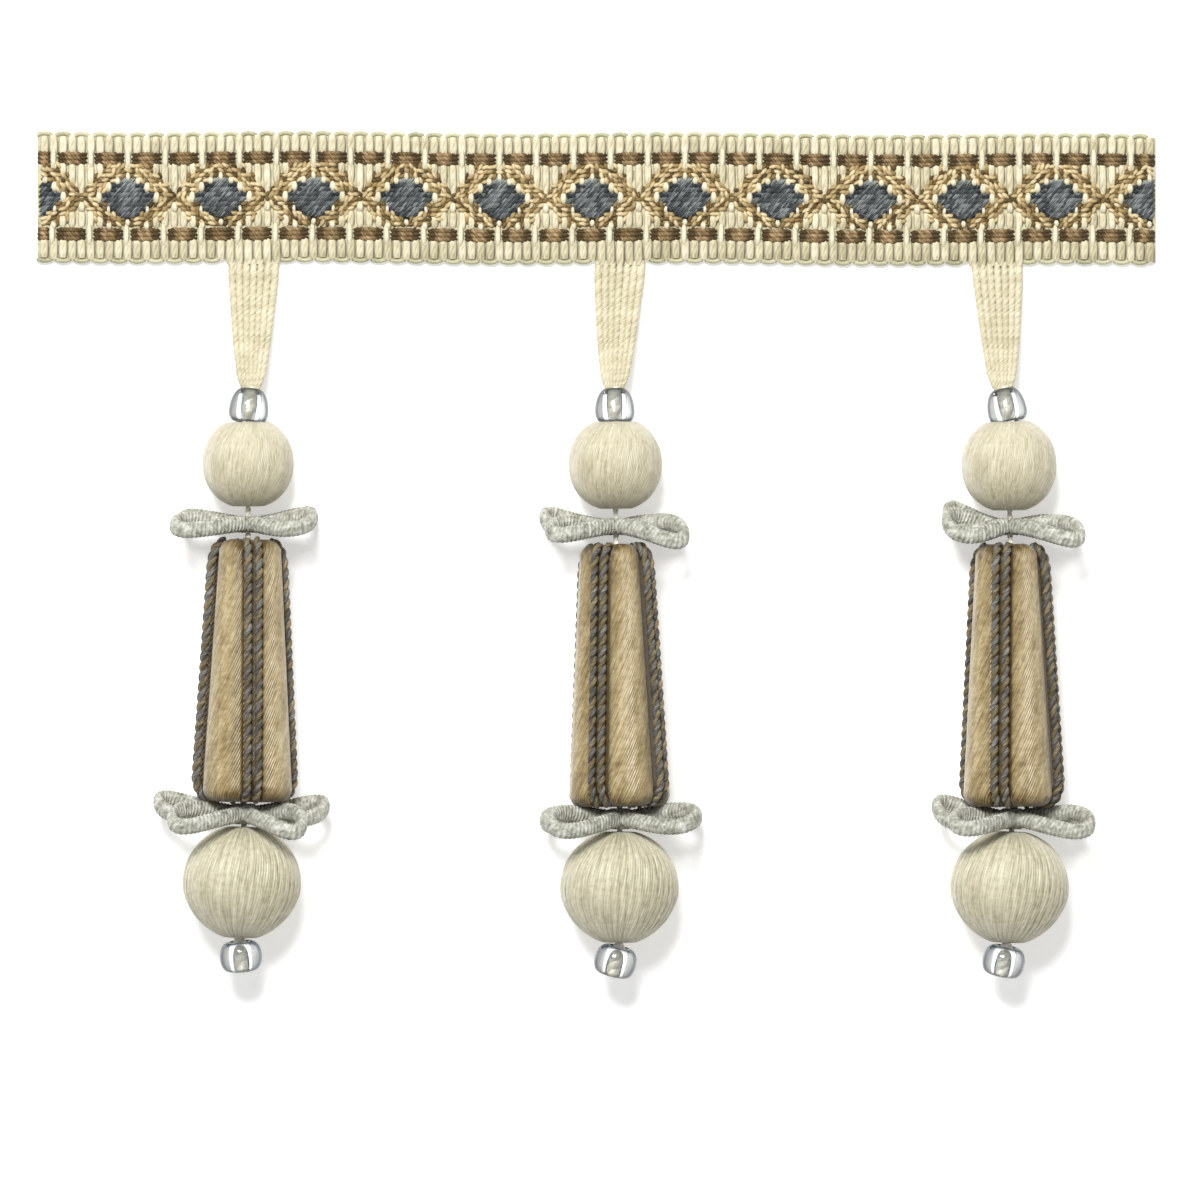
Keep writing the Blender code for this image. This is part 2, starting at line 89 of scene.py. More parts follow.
# Loops of each rosette: direction round the string in degrees, reach, rise to the braid, and
# tilt, which lifts the side of the loop that lies nearer the surface
UPPER_LOOPS = (
    ((26, 9.6, 0.3, 1.0), (156, 10.4, -0.6, 0.8), (202, 9.6, 0.8, 0.8), (-22, 9.2, 1.3, 0.8)),
    ((24, 9.9, -1.7, 1.2), (154, 9.6, -0.8, 0.8), (200, 10.1, 1.6, 0.8), (-24, 9.0, -0.6, 1.0)),
    ((28, 10.2, -1.6, 1.0), (158, 9.2, 0.2, 1.6), (198, 8.7, 2.2, 1.2), (-20, 9.2, -0.4, 1.0)),
)
LOWER_LOOPS = (
    ((42, 10.2, -1.9, 1.0), (140, 11.6, -1.4, 1.0), (195, 11.9, 1.5, 1.0), (-15, 10.9, 1.3, 1.0)),
    ((28, 11.2, -0.1, 1.2), (142, 11.2, -0.9, 1.2), (196, 10.4, 0.0, 1.0), (-18, 10.8, 0.4, 1.0)),
    ((22, 10.9, -0.8, 1.3), (136, 10.6, -1.0, 0.8), (192, 10.2, 1.6, 1.2), (-22, 9.6, -0.2, 1.0)),
)


# Mesh building
class Yarns:
    """Gathers grids of points into one mesh, with a UV for each corner and a tone for each point."""

    def __init__(self):
        self.points, self.quads, self.uvs, self.tones, self.slots = [], [], [], [], []
        self.count = 0

    def grid(self, points, u, v, tone=0.5, slot=0):
        """Adds rows of points, each of them a closed ring."""
        rows, cols = points.shape[:2]
        near = self.count + np.arange(rows * cols).reshape(rows, cols)
        far = np.roll(near, -1, 1)
        quads = np.stack([near[:-1], far[:-1], far[1:], near[1:]], -1).reshape(-1, 4)
        u = np.broadcast_to(u, (rows, cols + 1))
        v = np.broadcast_to(v, (rows, cols + 1))
        uv = np.stack([u, v], -1)
        corners = np.stack([uv[:-1, :-1], uv[:-1, 1:], uv[1:, 1:], uv[1:, :-1]], 2)
        self.points.append(points.reshape(-1, 3))
        self.quads.append(quads)
        self.uvs.append(corners.reshape(-1, 2))
        self.tones.append(np.broadcast_to(tone, (rows, cols)).reshape(-1))
        self.slots.append(np.full(len(quads), slot))
        self.count += rows * cols

    def tube(self, line, radii, sides=8, tone=0.5, slot=0, up=(0, 0, 1), pinch=True, wraps=None):
        """A tube along line; radii holds its half width and half height at each point.

        wraps, if given, is the height, pitch and number of starts of a thread wound round it.
        """
        line = np.asarray(line, float)
        radii = np.broadcast_to(np.asarray(radii, float), (len(line), 2)).copy()
        tone = np.broadcast_to(tone, len(line))
        along = np.gradient(line, axis=0)
        along /= np.linalg.norm(along, axis=1)[:, None]
        across = np.cross(along, np.asarray(up, float))
        across /= np.maximum(np.linalg.norm(across, axis=1), 1e-9)[:, None]
        rise = np.cross(across, along)
        if pinch:
            line = np.concatenate([line[:1], line, line[-1:]])
            radii = np.concatenate([radii[:1] * 0.1, radii, radii[-1:] * 0.1])
            across = np.concatenate([across[:1], across, across[-1:]])
            rise = np.concatenate([rise[:1], rise, rise[-1:]])
            tone = np.concatenate([tone[:1], tone, tone[-1:]])
        turn = -2 * np.pi * np.arange(sides) / sides
        ring = (across[:, None] * (np.cos(turn)[:, None] * radii[:, None, :1])
                + rise[:, None] * (np.sin(turn)[:, None] * radii[:, None, 1:]))
        step = np.linalg.norm(np.diff(line, axis=0, prepend=line[:1]), axis=1)
        u = np.cumsum(step)[:, None]
        v = np.linspace(0, 1, sides + 1)[None]
        tone = tone[:, None]
        if wraps:
            tall, pitch, starts = wraps
            crest = np.cos(2 * np.pi * u / pitch + starts * turn[None])
            ring = ring * (1 + tall * crest[..., None])
        self.grid(line[:, None] + ring, u, v, tone, slot=slot)

    def mesh(self, name, looks):
        points = np.concatenate(self.points) * MM
        quads = np.concatenate(self.quads)
        mesh = bpy.data.meshes.new(name)
        mesh.vertices.add(len(points))
        mesh.vertices.foreach_set("co", points.ravel())
        mesh.loops.add(quads.size)
        mesh.loops.foreach_set("vertex_index", quads.ravel())
        mesh.polygons.add(len(quads))
        mesh.polygons.foreach_set("loop_start", np.arange(0, quads.size, 4))
        mesh.polygons.foreach_set("material_index", np.concatenate(self.slots))
        mesh.update(calc_edges=True)
        layer = mesh.uv_layers.new(name="yarn")
        layer.data.foreach_set("uv", np.concatenate(self.uvs).ravel())
        tone = mesh.attributes.new("tone", "FLOAT", "POINT")
        tone.data.foreach_set("value", np.concatenate(self.tones).astype(np.float32))
        mesh.shade_smooth()
        for look in looks:
            mesh.materials.append(look)
        obj = bpy.data.objects.new(name, mesh)
        bpy.context.scene.collection.objects.link(obj)
        return obj


def plied(yarns, line, radius, pitch, ply_radius, slots=(0, 0), start=0.0, steps_per_turn=8, sides=6,
          tone=0.5, shrink=None):
    """Twists two plies round a line: each is a tube on a helix."""
    line = np.asarray(line, float)
    length = np.linalg.norm(np.diff(line, axis=0), axis=1)
    where = np.concatenate([[0], np.cumsum(length)])
    count = max(8, int(where[-1] / pitch * steps_per_turn))
    s = np.linspace(0, where[-1], count)
    path = np.stack([np.interp(s, where, line[:, k]) for k in range(3)], 1)
    for _ in range(2):
        path[1:-1] = (path[:-2] + 2 * path[1:-1] + path[2:]) / 4
    along = np.gradient(path, axis=0)
    along /= np.linalg.norm(along, axis=1)[:, None]
    side = np.cross(along, (0, 0, 1.0))
    side /= np.maximum(np.linalg.norm(side, axis=1), 1e-9)[:, None]
    rise = np.cross(side, along)
    scale = np.ones(count) if shrink is None else np.interp(s / s[-1], *shrink)
    tone = np.interp(s / s[-1], *tone) if isinstance(tone, tuple) else tone
    for ply in (0, 1):
        turn = start + 2 * np.pi * (ply / 2 - s / pitch)
        out = (radius - ply_radius) * 1.05 * scale
        centre = path + side * (np.cos(turn) * out)[:, None] + rise * (np.sin(turn) * out)[:, None]
        both = np.stack([ply_radius * scale] * 2, 1)
        yarns.tube(centre, both, sides, tone=tone + RNG.uniform(-0.08, 0.08), slot=slots[ply])


def float_yarn(yarns, start, end, width, height, base, tone, slot=0, rows=7, blunt=0.42):
    """A short raised stitch from start to end: it rises out of the cloth, arches over and dips in."""
    arch, sides = 0.35, 6
    start, end = np.asarray(start, float), np.asarray(end, float)
    share = np.linspace(0, 1, rows)
    swell = np.sin(np.pi * np.clip(share, 0.02, 0.98)) ** blunt
    flat = start + (end - start) * share[:, None]
    centre = np.column_stack([flat, base + (swell - 1) * arch + height * 0.15])
    radii = np.column_stack([width / 2 * (0.45 + 0.55 * swell), height * (0.5 + 0.5 * swell)])
    yarns.tube(centre, radii, sides, tone=tone, slot=slot, pinch=False)


# Materials
def srgb(r, g, b):
    return tuple(((c / 255 + 0.055) / 1.055) ** 2.4 if c > 10 else c / 3294.6 for c in (r, g, b)) + (1.0,)


class Look:
    """A small helper that adds nodes to one material."""

    def __init__(self, name, roughness, sheen=0.0, specular=0.5):
        self.material = bpy.data.materials.new(name)
        self.material.use_nodes = True
        self.nodes = self.material.node_tree.nodes
        self.links = self.material.node_tree.links
        self.shader = self.nodes["Principled BSDF"]
        self.shader.inputs["Roughness"].default_value = roughness
        self.shader.inputs["Sheen Weight"].default_value = sheen
        self.shader.inputs["Sheen Roughness"].default_value = 0.35
        self.shader.inputs["Sheen Tint"].default_value = (1, 1, 1, 1)
        self.shader.inputs["Specular IOR Level"].default_value = specular

    def node(self, kind, **settings):
        made = self.nodes.new(kind)
        for key, value in settings.items():
            setattr(made, key, value)
        return made

    def value(self, operation, a, b=None, c=None):
        made = self.node("ShaderNodeMath", operation=operation)
        for socket, item in zip(made.inputs, (a, b, c)):
            self.feed(socket, item)
        return made.outputs[0]

    def scaled(self, item, factor):
        return self.value("MULTIPLY", item, factor)

    def feed(self, socket, item):
        if item is None:
            return
        if isinstance(item, bpy.types.NodeSocket):
            self.links.new(item, socket)
        else:
            socket.default_value = item

    def uv(self):
        split = self.node("ShaderNodeSeparateXYZ")
        self.links.new(self.node("ShaderNodeUVMap", uv_map="yarn").outputs[0], split.inputs[0])
        return split.outputs[0], split.outputs[1]

    def vector(self, x, y, z=0.0):
        made = self.node("ShaderNodeCombineXYZ")
        for socket, item in zip(made.inputs, (x, y, z)):
            self.feed(socket, item)
        return made.outputs[0]

    def noise(self, vector, scale, detail):
        made = self.node("ShaderNodeTexNoise")
        self.links.new(vector, made.inputs["Vector"])
        made.inputs["Scale"].default_value = scale
        made.inputs["Detail"].default_value = detail
        made.inputs["Roughness"].default_value = 0.55
        return made.outputs["Fac"]

    def ramp(self, factor, stops):
        made = self.node("ShaderNodeValToRGB")
        self.feed(made.inputs[0], factor)
        ramp = made.color_ramp
        while len(ramp.elements) < len(stops):
            ramp.elements.new(0.5)
        for element, (place, colour) in zip(ramp.elements, stops):
            element.position = place
            element.color = colour
        return made.outputs[0]

    def tone(self):
        return self.node("ShaderNodeAttribute", attribute_name="tone").outputs["Fac"]

    def objects(self):
        return self.node("ShaderNodeTexCoord").outputs["Object"]

    def finish(self, colour, height=None, depth=0.03, roughness=None):
        self.feed(self.shader.inputs["Base Color"], colour)
        if roughness is not None:
            self.feed(self.shader.inputs["Roughness"], roughness)
        if height is not None:
            bump = self.node("ShaderNodeBump")
            bump.inputs["Distance"].default_value = depth * MM
            bump.inputs["Strength"].default_value = 1.0
            self.links.new(height, bump.inputs["Height"])
            self.links.new(bump.outputs[0], self.shader.inputs["Normal"])
        return self.material


def yarn_look(name, dark, mid, light, roughness=0.62, sheen=0.25, slant=2.2, fibre=9.0, depth=0.05):
    """Twisted yarn: fibres that run slanting round it, lighter and darker by turns.

    Slant is how fast the fibres turn along the yarn, and fibre how many lie round it.
    """
    look = Look(name, roughness, sheen, specular=0.35)
    u, v = look.uv()
    twisted = look.value("MULTIPLY_ADD", u, -slant * 0.5, look.scaled(v, 2.0))
    place = look.vector(look.scaled(u, 0.9), look.scaled(twisted, fibre), look.tone())
    fibres = look.noise(place, 1.0, 3.0)
    cloud = look.noise(look.objects(), 420.0, 2.0)
    mixed = look.value("MULTIPLY_ADD", look.value("SUBTRACT", cloud, 0.5), 0.35, fibres)
    # The tone attribute holds each mesh's tone, with the painted shade at the dashes' ends
    own_tone = look.value("SUBTRACT", look.tone(), 0.5)
    mixed = look.value("ADD", mixed, look.scaled(own_tone, 0.55))
    colour = look.ramp(mixed, ((0.3, dark), (0.5, mid), (0.72, light)))
    rough = look.value("MULTIPLY_ADD", fibres, 0.25, roughness - 0.12)
    return look.finish(colour, fibres, depth, rough)


CREAM = yarn_look("cream_yarn", srgb(176, 168, 136), srgb(208, 200, 172), srgb(226, 220, 196), depth=0.03)
THREAD = yarn_look("cream_thread", srgb(226, 220, 198), srgb(244, 239, 222), srgb(253, 250, 240), depth=0.03)
CREAM_RIB = yarn_look("cream_rib", srgb(162, 153, 119), srgb(199, 190, 158), srgb(226, 219, 192),
                      slant=0.3, fibre=7.0)
SELVEDGE = yarn_look("selvedge_yarn", srgb(140, 138, 106), srgb(182, 179, 145), srgb(206, 202, 170))
TAN = yarn_look("tan_yarn", srgb(146, 122, 78), srgb(188, 166, 120), srgb(222, 206, 166), slant=1.2)
BROWN = yarn_look("brown_yarn", srgb(62, 46, 16), srgb(106, 84, 42), srgb(142, 118, 72), slant=1.2)
DASH = yarn_look("dash_yarn", srgb(66, 48, 14), srgb(122, 98, 60), srgb(164, 138, 100), roughness=0.55)
DASH_LIGHT = yarn_look("dash_light_yarn", srgb(66, 50, 18), srgb(146, 121, 82), srgb(196, 170, 134),
                       roughness=0.55)
GROUND = yarn_look("ground_cloth", srgb(158, 147, 112), srgb(196, 186, 152), srgb(212, 204, 173),
                   slant=0.0, fibre=3.0)
SLATE = yarn_look("slate_yarn", srgb(38, 42, 44), srgb(78, 83, 83), srgb(142, 148, 146), sheen=0.1)
SLATE_DARK = yarn_look("slate_dark_yarn", srgb(22, 24, 26), srgb(40, 43, 46), srgb(70, 73, 76), sheen=0.05)
CORD_SLATE = yarn_look("cord_slate", srgb(46, 40, 36), srgb(88, 84, 78), srgb(150, 150, 146), sheen=0.1)
CORD_TAN = yarn_look("cord_tan", srgb(60, 50, 30), srgb(108, 95, 68), srgb(164, 150, 120), sheen=0.1)


def gimp_look():
    """Silvery thread wrapped slantwise round a core, with flecks of uneven tone, the lightest of them
    painted highlight where it catches the light.
    """
    look = Look("silver_gimp", 0.5, 0.15, specular=0.35)
    u, v = look.uv()
    wraps = look.value("MULTIPLY_ADD", u, 2.0, look.scaled(v, 2.0))
    wave = look.value("SINE", look.scaled(wraps, 2 * math.pi))
    # Flecks of uneven tone and painted highlight: the lightest ones stand in for glints on the thread
    fleck = look.noise(look.vector(look.scaled(wraps, 1.1), look.scaled(v, 9.0)), 1.0, 3.0)
    cloud = look.noise(look.objects(), 900.0, 2.0)
    mixed = look.value("MULTIPLY_ADD", wave, 0.03, fleck)
    mixed = look.value("MULTIPLY_ADD", look.value("SUBTRACT", cloud, 0.5), 0.7, mixed)
    dark, mid, light = srgb(118, 118, 104), srgb(170, 170, 157), srgb(214, 214, 206)
    colour = look.ramp(mixed, ((0.24, dark), (0.5, mid), (0.78, light)))
    height = look.value("MULTIPLY_ADD", wave, 0.35, fleck)
    return look.finish(colour, height, 0.12, look.value("MULTIPLY_ADD", fleck, 0.3, 0.35))


GIMP = gimp_look()


def wound_look(name, dark, mid, light, threads, skew, roughness, depth):
    """Silk wound from pole to pole: fine threads side by side, in bands of uneven tone and painted sheen.

    Threads is how many lie round the piece, and skew how far they lean in a millimetre.
    """
    look = Look(name, roughness, 0.3, specular=0.45)
    u, v = look.uv()
    round_it = look.value("MULTIPLY_ADD", u, skew, v)
    line = look.value("SINE", look.scaled(round_it, 2 * math.pi * threads))

    def streaks(along, across, detail):
        place = look.vector(look.scaled(u, along), look.scaled(round_it, threads * across))
        return look.noise(place, 1.0, detail)

    # Streaks, bands and specks of lighter and darker colour: uneven tone of the threads, and painted sheen
    # where the silk catches the light
    fine = streaks(0.35, 0.8, 3.0)
    bands = streaks(0.12, 0.12, 2.0)
    speck = streaks(1.6, 0.35, 2.0)
    tone = look.value("ADD", look.scaled(fine, 0.42), look.scaled(bands, 0.3))
    tone = look.value("ADD", tone, look.scaled(speck, 0.3))
    tone = look.value("MULTIPLY_ADD", line, 0.03, tone)
    # The tone attribute carries the painted shade from the balls' grooves and bores and from the cone's
    # grooves, panel edges and ends
    own_tone = look.value("SUBTRACT", look.tone(), 0.5)
    tone = look.value("ADD", tone, look.scaled(own_tone, 0.9))
    colour = look.ramp(tone, ((0.3, dark), (0.5, mid), (0.7, light)))
    height = look.value("ADD", look.scaled(line, 0.35), fine)
    rough = look.value("MULTIPLY_ADD", fine, 0.3, roughness - 0.14)
    return look.finish(colour, height, depth, rough)


BALL = wound_look("wound_silk", srgb(150, 142, 110), srgb(196, 188, 160), srgb(222, 216, 194),
                  threads=150, skew=0.006, roughness=0.42, depth=0.06)
LOW_BALL = wound_look("wound_silk_low", srgb(146, 140, 112), srgb(190, 184, 156), srgb(222, 217, 196),
                      threads=130, skew=0.003, roughness=0.42, depth=0.07)
SATIN = wound_look("gold_satin", srgb(88, 70, 34), srgb(154, 136, 96), srgb(204, 189, 152),
                   threads=120, skew=0.012, roughness=0.34, depth=0.06)


def glass_look():
    """Clear glass with painted shade: its base colour darkens towards its outline, where thick glass looks
    dark.
    """
    look = Look("clear_glass", 0.03)
    look.shader.inputs["Transmission Weight"].default_value = 1.0
    look.shader.inputs["IOR"].default_value = 1.5
    # Painted shade: the base colour runs from clear to dark grey as the surface turns away from the view
    facing = look.node("ShaderNodeLayerWeight")
    facing.inputs["Blend"].default_value = 0.45
    clear, grey, outline_dark = (0.94, 0.95, 0.94, 1), (0.3, 0.33, 0.34, 1), (0.01, 0.014, 0.02, 1)
    painted_outline_shade = look.ramp(facing.outputs["Facing"], ((0.18, clear), (0.3, grey), (0.46, outline_dark)))
    ripple = look.noise(look.objects(), 260.0, 1.0)
    return look.finish(painted_outline_shade, ripple, 0.02)


GLASS = glass_look()


def settle(piece, slot, *nodes):
    """Puts a piece on the one body and names the solids that it replaces; its slot is not used."""
    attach(piece, "root")
    if nodes:
        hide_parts(*nodes)
    return piece


# Braid
def middle(x):
    return BRAID_LEAN * x / HALF_LENGTH + BRAID_WAVE * np.sin(2 * np.pi * x / WAVE_LENGTH)


# Rows of the braid: distance below its top at the start and the end of each
UPPER_BORDER, UPPER_DASHES = (0.25, 2.6), (2.42, 3.72)
LOWER_DASHES, LOWER_BORDER = (11.85, 13.3), (13.15, 15.7)
UPPER_BAR, LOWER_BAR = (1.9, 4.25), (11.35, 13.9)
FIELD_TOP, FIELD_ROW = 3.73, 0.6
# Heights of the ribs' crests, and of the bars and bright dots that stand over them
RIB_CREST, BAR_CREST = 1.08, 1.22
# Half ribs from one oval to the next, the ovals that are at least partly shown, the chart's
# middle row, ribs from one bar over the dashes to the next, and the dashes that may be shown
MOTIF = 20
MOTIFS = range(-1, 13)
MIDDLE_ROW = 7
BAR_RIBS = 4
DASHES = range(-3, 34)
# Half the width of the stretch where ribs run on over a skein, and where they end below the top
SKEIN_HALF_WIDTH = 3.3
SKEIN_RIB_FOOT = 16.35

# The field's stitches, one letter for each half rib from an oval's middle outwards, one
# string a row: c cream rib, t tan, b brown, s slate, k dark slate, g pale grey
CHART = (
    "ttbbctc.c.c",
    "tbttbbc.c.c",
    "bbtbtttbc.c",
    "ggbtbtbbc.c",
    "sskkbtttt.c",
    "sssk.ttbtbc",
    "sssskk.bttb",
    "ssssss.ttbb",
    "sssssbbtbt.",
    "ssskkbtbt..",
    "sskttbttc.c",
    "kbttbbctc.c",
    "bbtbtbc.c.c",
)
# Over every second oval a bar ends in place of a tan dash, so its first rows differ
BAR_ROWS = ("cttttbc.c.c", "tbtttbc.c.c")
# Bright cream dots round an oval: half ribs out, row, width and height
DOTS = ((0.0, 2.7, 0.6, 0.75), (2.2, 3.6, 0.75, 0.55), (4.15, 4.9, 0.85, 0.95), (6.15, 7.0, 0.8, 1.15),
        (4.2, 9.6, 0.5, 0.5), (0.0, 12.2, 0.65, 0.6), (4.0, 12.9, 0.75, 0.7), (10.0, 9.1, 0.8, 1.0))


def ribs():
    first = math.ceil((-HALF_LENGTH - RIB_ZERO_X + 0.4) / RIB)
    last = math.floor((HALF_LENGTH - RIB_ZERO_X - 0.4) / RIB)
    return range(first, last + 1)


def letter(half_rib, row):
    motif = round(half_rib / MOTIF)
    out = abs(half_rib - motif * MOTIF)
    rows = BAR_ROWS if motif % 2 == 0 and row < len(BAR_ROWS) else CHART
    return rows[row][out]


def at(half_rib, down):
    x = RIB_ZERO_X + half_rib * RIB / 2
    return np.array([x, BRAID_TOP - down + float(middle(x))])


def inside(x, margin=0.35):
    return abs(x) < HALF_LENGTH - margin


def over_skein(x):
    return min(abs(x - root_x) for root_x in SKEIN_ROOTS) < SKEIN_HALF_WIDTH


def runs(half_rib, wanted):
    """Stretches of a column of the chart that hold one letter, as distances below the top."""
    start = None
    for row in range(len(CHART) + 1):
        found = row < len(CHART) and letter(half_rib, row) == wanted
        if found and start is None:
            start = row
        if not found and start is not None:
            yield FIELD_TOP + start * FIELD_ROW, FIELD_TOP + row * FIELD_ROW
            start = None


def make_ground():
    """The cloth under the stitches: a ribbed slab with scalloped edges."""
    yarns = Yarns()
    xs = np.linspace(-HALF_LENGTH, HALF_LENGTH, 726)
    phase = (xs - RIB_ZERO_X) / RIB
    rib = np.abs(np.cos(np.pi * phase))
    scallop = 0.3 * np.abs(np.sin(np.pi * phase / 2))
    width = BRAID_TOP - BRAID_FOOT
    # The section: distance below the top, height, and whether the ribs show there
    profile = ((0.0, 0.02, 0), (0.0, 0.55, 0), (0.35, 0.85, 1), (1.2, 0.95, 1), (8.0, 0.95, 1),
               (14.7, 0.95, 1), (15.55, 0.85, 1), (width, 0.55, 0), (width, 0.02, 0))
    rows = []
    for down, high, ribbed in profile:
        inset = (0.35 - scallop) * (1 if down < 1 else -1 if down > 15 else 0)
        y = BRAID_TOP - down - inset + middle(xs)
        z = high + ribbed * (0.2 * rib - 0.1)
        rows.append(np.stack([xs, y, z], 1))
    grid = np.stack(rows, 1)
    centre = grid.mean(1, keepdims=True)
    ends = [np.broadcast_to(centre[k], grid.shape[1:]) for k in (0, -1)]
    grid = np.concatenate([ends[:1], grid, ends[1:]])
    along = np.concatenate([xs[:1], xs, xs[-1:]])
    yarns.grid(grid, along[:, None], np.linspace(0, 12, grid.shape[1] + 1)[None])
    return yarns.mesh("braid_ground", [GROUND])


def make_ribs():
    """Cream floats: the two ribbed borders, the bars over the dashes and the field's ribs."""
    yarns = Yarns()

    def lay(half_rib, top, foot, wide, tall, crest, tone, blunt=0.42):
        if not inside(RIB_ZERO_X + half_rib * RIB / 2, 0.5):
            return
        jitter = RNG.uniform(-0.05, 0.05, 2)
        float_yarn(yarns, at(half_rib, top) + (jitter[0], 0), at(half_rib, foot) + (jitter[1], 0),
                   wide, tall, crest, tone, blunt=blunt)

    for rib in ribs():
        tone = 0.5 + RNG.uniform(-0.14, 0.14)
        uneven = 0.2 * (rib % 2)
        lay(2 * rib, UPPER_BORDER[0] + uneven, UPPER_BORDER[1], 1.14, 0.24, RIB_CREST, tone + 0.05, 0.2)
        foot = SKEIN_RIB_FOOT if over_skein(RIB_ZERO_X + rib * RIB) else LOWER_BORDER[1] - uneven
        lay(2 * rib, LOWER_BORDER[0], foot, 1.14, 0.24, RIB_CREST, tone, 0.2)
        if rib % BAR_RIBS == 0:
            lay(2 * rib, *UPPER_BAR, 0.74, 0.42, BAR_CREST, 0.75)
            lay(2 * rib - 0.3, *LOWER_BAR, 0.74, 0.42, BAR_CREST, 0.75)
        for top, foot in runs(2 * rib, "c"):
            lay(2 * rib, top - 0.1, foot + 0.1, 0.98, 0.28, RIB_CREST, tone + 0.12, 0.25)
    for motif in MOTIFS:
        for out, row, wide, tall in DOTS:
            down = FIELD_TOP + row * FIELD_ROW
            for side in {-1, math.copysign(1, out or -1)}:
                lay(MOTIF * motif + side * out, down - tall / 2, down + tall / 2, wide, 0.42,
                    BAR_CREST, 0.85 + RNG.uniform(-0.1, 0.1))
    for side, edge in ((1, BRAID_TOP), (-1, BRAID_FOOT)):
        for rib in ribs():
            x = RIB_ZERO_X + rib * RIB
            if rib % 2 == 0 or (side < 0 and over_skein(x)):
                continue
            y = edge + float(middle(x))
            turn = np.linspace(-1.25, 1.25, 9)
            bow = side * (0.42 * np.cos(turn) - 0.42)
            line = np.stack([x + 0.95 * np.sin(turn), y + bow, np.full(9, 0.72)], 1)
            yarns.tube(line, (0.3, 0.34), 7, tone=0.5 + RNG.uniform(-0.2, 0.2), slot=1)
    return yarns.mesh("braid_ribs", [CREAM_RIB, SELVEDGE])


def make_dashes():
    """Brown dashes between the bars: three twisted yarns side by side, with painted shade where they dive
    in.
    """
    yarns = Yarns()
    share = np.linspace(-1, 1, 14)
    belly = np.sqrt(1 - 0.8 * share**2)
    for top, foot in (UPPER_DASHES, LOWER_DASHES):
        for group in DASHES:
            lean = 0.17 if top > FIELD_TOP else 0
            left = RIB_ZERO_X + (group * BAR_RIBS + 0.42) * RIB - lean
            right = left + 3.16 * RIB
            if right < -HALF_LENGTH + 0.5 or left > HALF_LENGTH - 0.5:
                continue
            x = np.linspace(max(left, -HALF_LENGTH + 0.1), min(right, HALF_LENGTH - 0.1), 14)
            for lane in (-1, 0, 1):
                down = (top + foot) / 2 + lane * 0.53 * (0.78 + 0.22 * belly)
                z = RIB_CREST - 0.42 + 0.5 * belly - 0.06 * abs(lane)
                line = np.stack([x, BRAID_TOP - down + middle(x), z], 1)
                # Each yarn's tone: a random lightness in the middle and painted shade towards its ends,
                # where it dives in
                light = 0.52 + RNG.uniform(-0.1, 0.1)
                plied(yarns, line, 0.35, 1.0, 0.225, slots=(0, 1), start=RNG.uniform(0, 6.28),
                      tone=([0, 0.22, 0.4, 0.6, 0.78, 1], [-0.2, 0.05, light, light, 0.05, -0.2]),
                      shrink=([0, 0.1, 0.9, 1], [0.6, 1, 1, 0.6]))
    return yarns.mesh("braid_dashes", [DASH, DASH_LIGHT])


def make_lattice():
    """Tan and brown slanting stitches, whose legs cross between the ovals."""
    yarns = Yarns()
    for half_rib in range(2 * ribs()[0], 2 * ribs()[-1] + 1):
        right = half_rib - round(half_rib / MOTIF) * MOTIF
        for row in range(len(CHART)):
            kind = letter(half_rib, row)
            if kind not in "tb":
                continue
            centre = at(half_rib, FIELD_TOP + (row + 0.5) * FIELD_ROW) + RNG.uniform(-0.06, 0.06, 2)
            hand = 1 if (right < 0) == (row < MIDDLE_ROW) else -1
            angle = hand * (math.radians(40) + RNG.uniform(-0.7, 0.7))
            along = np.array([math.cos(angle), math.sin(angle)]) * (0.36 + RNG.uniform(-0.05, 0.1))
            crest = RIB_CREST + (0.1 if kind == "t" else -0.1)
            float_yarn(yarns, centre - along, centre + along, 0.54, 0.36, crest,
                       0.5 + RNG.uniform(-0.35, 0.35), slot="bt".index(kind))
    return yarns.mesh("braid_lattice", [BROWN, TAN])


def make_ovals():
    """Slate ovals with stepped sides: rows of slanting stitches, dark where the yarns turn."""
    yarns = Yarns()
    for motif in MOTIFS:
        for row in range(len(CHART)):
            half = sum(mark in "skg" for mark in CHART[row]) - 0.7
            if half <= 0:
                continue
            down = FIELD_TOP + (row + 0.5) * FIELD_ROW
            count = round(2 * half * RIB / 2 / 0.29)
            for i in range(count):
                across = (i + 0.5) / count * 2 - 1
                centre = at(MOTIF * motif + across * half, down) + RNG.uniform(-0.04, 0.04, 2)
                if not inside(centre[0]):
                    continue
                lift = 0.2 * (1 - across**2) * (1 - ((row - MIDDLE_ROW) / 4.5) ** 2)
                tone = 0.5 + RNG.uniform(-0.35, 0.35) + 0.45 * ("g" in CHART[row])
                float_yarn(yarns, centre - (0.33, 0.34), centre + (0.33, 0.34), 0.3, 0.24,
                           RIB_CREST + lift, tone, rows=6)
            for out, mark in enumerate(CHART[row]):
                if mark != "k":
                    continue
                for side in (-1, 1):
                    centre = at(MOTIF * motif + side * out, down)
                    if inside(centre[0], 0.6):
                        float_yarn(yarns, centre - (0.28, 0.03), centre + (0.28, -0.03), 0.54, 0.3,
                                   RIB_CREST + 0.12, 0.5 + RNG.uniform(-0.2, 0.2), slot=1)
    return yarns.mesh("braid_ovals", [SLATE, SLATE_DARK])


ground = settle(make_ground(), "braid", "braid")
stitches = [settle(make(), "braid") for make in (make_ribs, make_dashes, make_lattice, make_ovals)]


